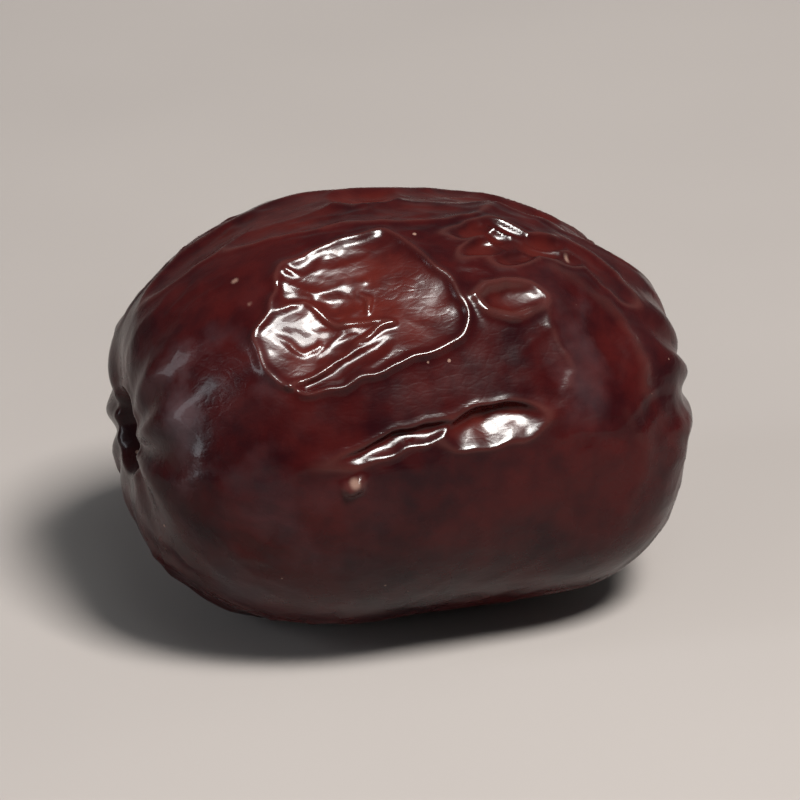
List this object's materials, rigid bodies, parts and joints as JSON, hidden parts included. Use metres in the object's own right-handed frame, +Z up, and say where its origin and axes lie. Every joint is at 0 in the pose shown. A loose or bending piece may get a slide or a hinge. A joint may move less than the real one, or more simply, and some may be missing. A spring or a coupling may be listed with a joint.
{
  "type": "dried jujube",
  "caption": "Whole dried jujube lying on its side, with dark wrinkled skin, a stalk cup holding a dry stub at one end and a blossom dimple at the other.",
  "frame": {"origin": "on the surface it rests on, under the middle of its bounding box, in the resting spot", "axes": "+X along the fruit from its stalk end to its blossom end, +Z up, -Y towards the pictured side"},
  "size_m": [0.0268, 0.021, 0.0199],
  "materials": {
    "skin": "waxy sheen on dark maroon fruit skin"
  },
  "bodies": {
    "root": {"jujube": "skin"}
  },
  "joints": []
}
